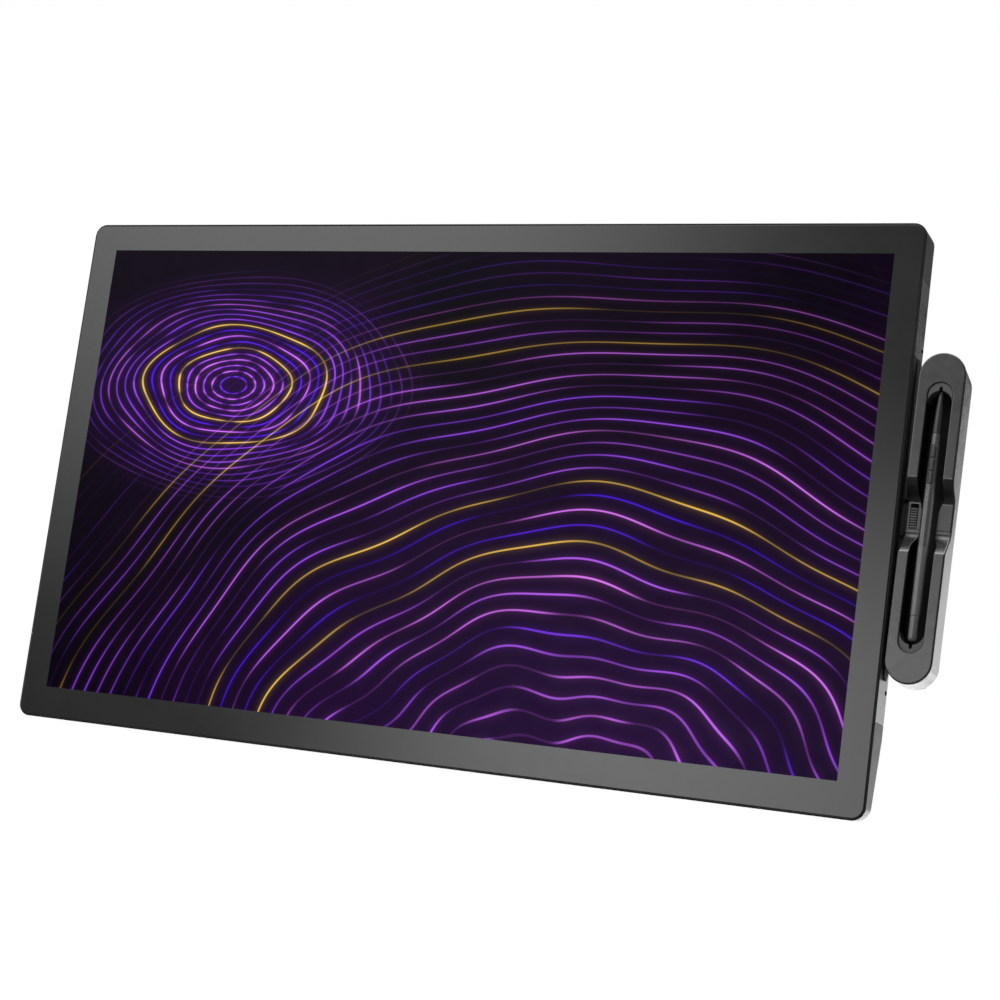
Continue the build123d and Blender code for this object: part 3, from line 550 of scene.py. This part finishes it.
def skin(rings, closed_ring=True, closed_path=False):
    """Quads between rings of equally many points."""
    pts = [p_ for r_ in rings for p_ in r_]
    n_ = len(rings[0])
    faces = []
    m_ = len(rings)
    for a_ in range(m_ if closed_path else m_ - 1):
        b_ = (a_ + 1) % m_
        for i_ in range(n_ if closed_ring else n_ - 1):
            j_ = (i_ + 1) % n_
            faces.append((a_ * n_ + i_, a_ * n_ + j_, b_ * n_ + j_, b_ * n_ + i_))
    return pts, faces


def cap(faces, start, n_):
    faces.append(tuple(range(start, start + n_)))


def rounded_rect(w, h, r_, x=0.0, z=0.0, seg=12):
    out = []
    for cx, cz, a0 in ((w / 2 - r_, h / 2 - r_, 0), (-w / 2 + r_, h / 2 - r_, 90), (-w / 2 + r_, -h / 2 + r_, 180), (w / 2 - r_, -h / 2 + r_, 270)):
        for i_ in range(seg + 1):
            a = math.radians(a0 + 90.0 * i_ / seg)
            out.append((x + cx + r_ * math.cos(a), z + cz + r_ * math.sin(a)))
    return out


def ss(t_):
    t_ = max(0.0, min(1.0, t_))
    return t_ * t_ * (3 - 2 * t_)


def cutter(name, pts, faces, lean):
    me_ = bpy.data.meshes.new(name)
    me_.from_pydata([place_pt(*p_, lean) for p_ in pts], [], faces)
    b_ = bmesh.new()
    b_.from_mesh(me_)
    bmesh.ops.recalc_face_normals(b_, faces=b_.faces)
    b_.to_mesh(me_)
    b_.free()
    o_ = bpy.data.objects.new(name, me_)
    scene.collection.objects.link(o_)
    return o_


def prism(loop, d0, d1):
    rings = [[(x, d0, z) for x, z in loop], [(x, d1, z) for x, z in loop]]
    pts, faces = skin(rings)
    cap(faces, 0, len(loop))
    cap(faces, len(loop), len(loop))
    return pts, faces


def cut(obj, *tools):
    """Takes the tools' shapes out of obj, for good."""
    for t_ in tools:
        md = obj.modifiers.new("cut", "BOOLEAN")
        md.operation, md.solver, md.object = "DIFFERENCE", "EXACT", t_
    dg = bpy.context.evaluated_depsgraph_get()
    new = bpy.data.meshes.new_from_object(obj.evaluated_get(dg))
    obj.modifiers.clear()
    old = obj.data
    obj.data = new
    bpy.data.meshes.remove(old)
    for f_ in new.polygons:
        f_.use_smooth = True
    new.set_sharp_from_angle(angle=math.radians(32.0))
    for t_ in tools:
        me_ = t_.data
        bpy.data.objects.remove(t_)
        bpy.data.meshes.remove(me_)


# ---------------------------------------------------------------- front glass: ground edge, printed border, lit window
glass_rings = []
for inset, d in ((0.0, GLASS_T), (0.0, 0.30), (0.03, 0.18), (0.10, 0.075), (0.20, 0.018), (0.32, 0.0), (0.42, 0.0)):
    glass_rings.append([(x, d, z) for x, z in rounded_rect(GLASS_W - 2 * inset, GLASS_H - 2 * inset, GLASS_R - inset)])
window = []
seg = 12
hw_, hh_ = SCREEN_W / 2, SCREEN_H / 2
for cx, cz in ((hw_, hh_), (-hw_, hh_), (-hw_, -hh_), (hw_, -hh_)):
    window += [(cx + SCREEN_X, 0.0, cz + SCREEN_Z)] * (seg + 1)
pts, faces = skin(glass_rings + [window])
cap(faces, 0, len(glass_rings[0]))
piece("front_glass", pts, faces, "display", [MATS["etched_glass"]], node="cover_glass")
nx, nz = 24, 14
pts = [(-hw_ + SCREEN_W * i / nx + SCREEN_X, 0.0, -hh_ + SCREEN_H * j / nz + SCREEN_Z) for j in range(nz + 1) for i in range(nx + 1)]
faces = [(j * (nx + 1) + i, j * (nx + 1) + i + 1, (j + 1) * (nx + 1) + i + 1, (j + 1) * (nx + 1) + i) for j in range(nz) for i in range(nx)]
n0 = len(pts)
edge_loop = [i for i in range(nx + 1)] + [j * (nx + 1) + nx for j in range(1, nz + 1)] + [nz * (nx + 1) + i for i in range(nx - 1, -1, -1)] + [j * (nx + 1) for j in range(nz - 1, 0, -1)]
pts += [(pts[i][0], 1.0, pts[i][2]) for i in edge_loop]
for a in range(len(edge_loop)):
    b = (a + 1) % len(edge_loop)
    faces.append((edge_loop[a], edge_loop[b], n0 + b, n0 + a))
faces.append(tuple(n0 + i for i in range(len(edge_loop))))
piece("lit_window", pts, faces, "display", [screen_material()], node="cover_glass")


# ---------------------------------------------------------------- pen tray
def dip(z):
    if z >= 26.0 or z <= -21.5:
        return 0.0
    if z > 11.2:
        return DIP * ss((26.0 - z) / 14.8)
    if z >= -5.0:
        return DIP
    t_ = (z + 21.5) / 16.5
    return DIP * (t_ * (1.10 + t_ * (0.80 - 0.90 * t_)))


def half_width(z, left):
    hi = (19.0, 6.0) if left else (17.0, 5.0)
    if z >= hi[0] or z <= -17.5:
        return SLOT_R
    if z > hi[1]:
        return SLOT_R + (WAIST - SLOT_R) * ss((hi[0] - z) / (hi[0] - hi[1]))
    if z >= -9.0:
        return WAIST
    return SLOT_R + (WAIST - SLOT_R) * ss((z + 17.5) / 8.5)


R_OUT = TRAY_W / 2
OUT_T, OUT_B = TRAY_Z + TRAY_L / 2 - R_OUT, TRAY_Z - TRAY_L / 2 + R_OUT
IN_T, IN_B = SLOT_Z1 - SLOT_R, SLOT_Z0 + SLOT_R
side_z = [IN_T - (IN_T - 30.0) * i / 10 for i in range(1, 10)]
side_z += [30.0 - 0.6 * i for i in range(91)]
side_z += [-24.0 - (-24.0 - IN_B) * i / 10 for i in range(1, 10)]


def wide_z(z):
    """The same height on the outer wall, stretched towards the round ends."""
    if z > 30.0:
        return 30.0 + (z - 30.0) * (OUT_T - 30.0) / (IN_T - 30.0)
    if z < -24.0:
        return -24.0 + (z + 24.0) * (OUT_B + 24.0) / (IN_B + 24.0)
    return z


NA = 28
outer, inner = [], []
for i in range(NA + 1):
    a = math.pi * i / NA
    outer.append((R_OUT * math.cos(a), OUT_T + R_OUT * math.sin(a)))
    inner.append((SLOT_R * math.cos(a), IN_T + SLOT_R * math.sin(a)))
for z in side_z:
    outer.append((-R_OUT, wide_z(z)))
    inner.append((-half_width(z, True), z))
for i in range(NA + 1):
    a = math.pi + math.pi * i / NA
    outer.append((R_OUT * math.cos(a), OUT_B + R_OUT * math.sin(a)))
    inner.append((SLOT_R * math.cos(a), IN_B + SLOT_R * math.sin(a)))
for z in reversed(side_z):
    outer.append((R_OUT, wide_z(z)))
    inner.append((half_width(z, False), z))


def moved(loop, dist):
    """The loop moved along its left-hand normals (inward for a loop that runs anticlockwise)."""
    out = []
    n_ = len(loop)
    for i_ in range(n_):
        (x0, z0), (x1, z1) = loop[i_ - 1], loop[(i_ + 1) % n_]
        tx, tz = x1 - x0, z1 - z0
        l_ = math.hypot(tx, tz) or 1.0
        out.append((loop[i_][0] - tz / l_ * dist, loop[i_][1] + tx / l_ * dist))
    return out


def tray_ring(loop, d, follow=True):
    return [(TRAY_X + x, d + (dip(z) if follow else 0.0), z) for x, z in loop]


rings = [tray_ring(outer, TOP_T), tray_ring(outer, 0.95)]
for ins, d in ((0.06, 0.62), (0.20, 0.34), (0.42, 0.14), (0.70, 0.03), (0.95, 0.0)):
    rings.append(tray_ring(moved(outer, ins), d))
rings.append(tray_ring(moved(outer, 1.10), 0.0))
a_loop, b_loop = moved(outer, 1.10), moved(inner, -0.60)
for f in (0.25, 0.5, 0.75):
    rings.append(tray_ring([(x0 + (x1 - x0) * f, z0 + (z1 - z0) * f) for (x0, z0), (x1, z1) in zip(a_loop, b_loop)], 0.0))
for ins, d in ((-0.60, 0.0), (-0.45, 0.0), (-0.24, 0.05), (-0.08, 0.17), (0.0, 0.38)):
    rings.append(tray_ring(moved(inner, ins), d))
rings.append(tray_ring(inner, TOP_T))
pts, faces = skin(rings, closed_path=True)
tray_top = piece("tray_top_plate", pts, faces, "tray", [MATS["tray_rim"]], node="tray_top", lean=True)
well = cutter("well", *prism(rounded_rect(5.0, 15.6, 0.6, CATCH_X, 2.95, 4), 2.0, 17.0), True)
cut(tray_top, well)

# thin black strip on the rail behind the tray's dip: a dark sheet standing in for the shade in the gap, painted shade
rings = []
for z, k in ((-22.0, 0.25), (-21.8, 0.70), (-21.3, 0.93), (-20.5, 1.0), (28.5, 1.0), (29.3, 0.93), (29.8, 0.70), (30.0, 0.25)):
    rings.append([(x, d, z) for x, d in rounded_rect(1.1 * k, 6.3 * (0.85 + 0.15 * k), 0.45 * k, 319.07 + 0.55 * k, 21.3, 4)])
pts, faces = skin(rings)
cap(faces, 0, len(rings[0]))
cap(faces, (len(rings) - 1) * len(rings[0]), len(rings[0]))
piece("rail_shade_strip", pts, faces, "display", [MATS["seat_black"]])

# sprung catch with rounded ribs
prof = []          # (z, depth) down the face
top_d = DIP
z_hi, z_lo = 7.9, -4.6
prof.append((z_hi, top_d + 3.4))
prof.append((z_hi + 2.1, top_d + 3.4))
prof.append((z_hi + 2.1, top_d + 2.2))
prof.append((z_hi, top_d + 2.2))
prof.append((z_hi, top_d + 0.35))
prof.append((z_hi - 0.12, top_d + 0.1))
prof.append((z_hi - 0.4, top_d))
for i in range(7, -1, -1):
    zc = -4.0 + i * 1.62
    for k in range(9):
        a = math.pi * k / 8
        prof.append((zc + 0.58 * math.cos(a), top_d - 0.72 * math.sin(a) ** 0.7 if 0 < k < 8 else top_d))
prof.append((z_lo + 0.3, top_d))
prof.append((z_lo, top_d + 0.3))
prof.append((z_lo, top_d + 3.6))
rings = []
for x, drop in ((-2.3, 0.45), (-2.26, 0.2), (-2.12, 0.05), (-1.9, 0.0), (1.9, 0.0), (2.12, 0.05), (2.26, 0.2), (2.3, 0.45)):
    rings.append([(CATCH_X + x, max(d, top_d - 0.72 + drop * 1.8) if d < top_d + 1 else d, z if x < 1.8 else min(z, z_hi)) for z, d in prof])
pts, faces = skin(rings)
cap(faces, 0, len(prof))
cap(faces, (len(rings) - 1) * len(prof), len(prof))
piece("tray_catch_slider", pts, faces, "tray_catch", [MATS["catch_ribs_painted_light"]], node="tray_catch", lean=True)


# crescent rests at both ends of the slot
def crescent(name, top):
    cz, sgn = (IN_T, 1.0) if top else (IN_B, -1.0)
    shift = 5.2
    r_ = SLOT_R - 0.15
    n_ = 96
    out_loop = [(r_ * math.cos(math.pi * i / n_), cz + sgn * r_ * math.sin(math.pi * i / n_)) for i in range(n_ + 1)]
    in_loop = []
    for i in range(n_ + 1):
        a = math.pi * i / n_
        x, z = r_ * math.cos(a), cz + sgn * (r_ * math.sin(a) - shift)
        nw, nd = 1.2, 2.6
        if abs(x) < nw:
            z += sgn * nd * (1 - abs(x / nw) ** 6)
        in_loop.append((x, z))
    rings = [
        [(TRAY_X + x, 13.5, z) for x, z in out_loop], [(TRAY_X + x, 1.15, z) for x, z in out_loop],
        [(TRAY_X + x * 0.975, 0.95, z - sgn * 0.1) for x, z in out_loop],
        [(TRAY_X + x * 0.98, 0.95, z + sgn * 0.18) for x, z in in_loop], [(TRAY_X + x, 1.2, z) for x, z in in_loop],
        [(TRAY_X + x, 13.5, z) for x, z in in_loop],
    ]
    pts, faces = skin(rings, closed_ring=False, closed_path=True)
    n1 = n_ + 1
    for e in (0, n_):
        faces.append(tuple(k * n1 + e for k in range(6)))
    return piece(name, pts, faces, "tray", [MATS["nib_plastic"]], node="pen_rests", lean=True)


crescent("pen_rest_nib_end", True)
crescent("pen_rest_tail_end", False)


# ---------------------------------------------------------------- stylus
def pen_radius(z):
    for (a, ra), (b, rb) in zip(PEN, PEN[1:]):
        if b <= z <= a:
            t_ = (a - z) / (a - b)
            return ra + (rb - ra) * t_
    return PEN[-1][1] if z < PEN[-1][0] else PEN[0][1]


def smooth_radius(z):
    """The CAD outline with its corners eased."""
    s_ = 0.0
    for k_, w_ in ((-2.4, 1), (-1.2, 2), (0.0, 3), (1.2, 2), (2.4, 1)):
        s_ += w_ * pen_radius(max(-74.5, min(77.5, z + k_)))
    return s_ / 9.0


def turned(name, prof_, body, mat, node, seg_=56):
    rings_ = []
    for z, r_ in prof_:
        rings_.append([(TRAY_X + r_ * math.cos(2 * math.pi * i / seg_), PEN_D - r_ * math.sin(2 * math.pi * i / seg_), z) for i in range(seg_)])
    pts_, faces_ = skin(rings_)
    cap(faces_, 0, seg_)
    cap(faces_, (len(rings_) - 1) * seg_, seg_)
    return piece(name, pts_, faces_, body, [mat], node=node, lean=True)


def groove(z, depth=0.14, w=0.22):
    r_ = smooth_radius(z)
    return [(z + w, r_), (z + w * 0.6, r_ - depth), (z - w * 0.6, r_ - depth), (z - w, r_)]


def run(z1, z0, step=2.0):
    n_ = max(1, int(round((z1 - z0) / step)))
    return [(z1 + (z0 - z1) * i / n_, smooth_radius(z1 + (z0 - z1) * i / n_)) for i in range(n_ + 1)]


def joined(*parts_):
    out = []
    for p_ in parts_:
        for q_ in p_:
            if not out or abs(out[-1][0] - q_[0]) > 1e-4 or abs(out[-1][1] - q_[1]) > 1e-4:
                out.append(q_)
    return out


pm = MATS["pen_plastic"]
pt = pm.node_tree
px_, py_, pz_ = xyz(pt, pt.nodes.new("ShaderNodeTexCoord").outputs["Object"])
pb = pt.nodes["Principled BSDF"].inputs["Base Color"]
# the barrel is a little lighter below its lower ring
pt.links.new(scale(pt, pb.links[0].from_socket, (pz_ * 1000.0).ramp(-17.8, -17.0, 1.6, 1.0)), pb)
barrel_prof = joined(
    [(CONE_Z - 0.05, smooth_radius(CONE_Z) - 0.2), (CONE_Z - 0.22, smooth_radius(CONE_Z) - 0.03)], run(CONE_Z - 0.4, 20.6),
    groove(20.2, 0.16, 0.25), groove(18.8, 0.12, 0.25), run(18.4, -17.1), groove(-17.4, 0.12, 0.22), run(-17.8, CAP_Z + 0.35),
    [(CAP_Z + 0.2, smooth_radius(CAP_Z) - 0.03), (CAP_Z + 0.05, smooth_radius(CAP_Z) - 0.2)],
)
barrel = turned("pen_barrel_shell", barrel_prof, "pen", pm, "pen_barrel")
cut(barrel, cutter("rocker_well", *prism(rounded_rect(3.4, 25.4, 0.6, TRAY_X, 34.2, 4), 0.0, PEN_D - 2.1), True))
cone_prof = joined(
    [(79.2, 0.98), (79.15, 1.2), (79.0, 1.33)], [(z, pen_radius(z)) for z in (78.0, 76.6)], run(75.0, CONE_Z + 0.4),
    [(CONE_Z + 0.22, smooth_radius(CONE_Z) - 0.03), (CONE_Z + 0.05, smooth_radius(CONE_Z) - 0.2)],
)
turned("pen_cone_shell", cone_prof, "pen", MATS["pen_cone_plastic"], "pen_cone")
cap_prof = joined(
    [(CAP_Z - 0.05, smooth_radius(CAP_Z) - 0.2), (CAP_Z - 0.22, smooth_radius(CAP_Z) - 0.03)], run(CAP_Z - 0.4, -73.0),
    [(-74.2, 2.94), (-75.0, 2.82), (-75.6, 2.58), (-76.0, 2.2), (-76.2, 1.5), (-76.2, 0.4)],
)
turned("pen_tail_cap_shell", cap_prof, "pen", MATS["pen_tail_plastic"], "pen_tail_cap")
turned("pen_nib_tip", [(81.0, 0.12), (80.94, 0.34), (80.75, 0.58), (80.4, 0.78), (79.9, 0.84), (74.0, 0.85)], "pen_nib", MATS["nib_plastic"], "pen_nib", 28)

# rocker switches: crowned pads that follow the barrel
for nm, z1, z0 in (("upper", 46.6, 38.6), ("middle", 38.2, 30.2), ("lower", 29.8, 21.8)):
    rows, cols = 18, 12
    rings = []
    for j in range(rows + 1):
        t_ = j / rows
        z = z1 + (z0 - z1) * t_
        taper_ = 1.0
        if nm == "upper":
            taper_ = min(1.0, 0.35 + t_ * 3.2)
        if nm == "lower":
            taper_ = min(1.0, 0.35 + (1 - t_) * 3.2)
        w_ = 1.5 * math.sqrt(taper_)
        edge_ = min(t_, 1 - t_) * (z1 - z0)
        soft = ss(min(1.0, edge_ / 0.9))
        row = []
        for i in range(cols + 1):
            s_ = -1 + 2 * i / cols
            x = w_ * s_
            r_ = smooth_radius(z) + 0.02 + 0.26 * soft * (1 - abs(s_) ** 4)
            row.append((TRAY_X + x, PEN_D - math.sqrt(max(0.1, r_ * r_ - x * x)), z))
        row += [(TRAY_X + w_, PEN_D - 2.6, z), (TRAY_X - w_, PEN_D - 2.6, z)]
        rings.append(row)
    pts, faces = skin(rings)
    cap(faces, 0, cols + 3)
    cap(faces, rows * (cols + 3), cols + 3)
    piece(f"pen_switch_{nm}_pad", pts, faces, f"pen_switch_{nm}", [MATS["key_plastic"]], node=f"pen_switch_{nm}", lean=True)
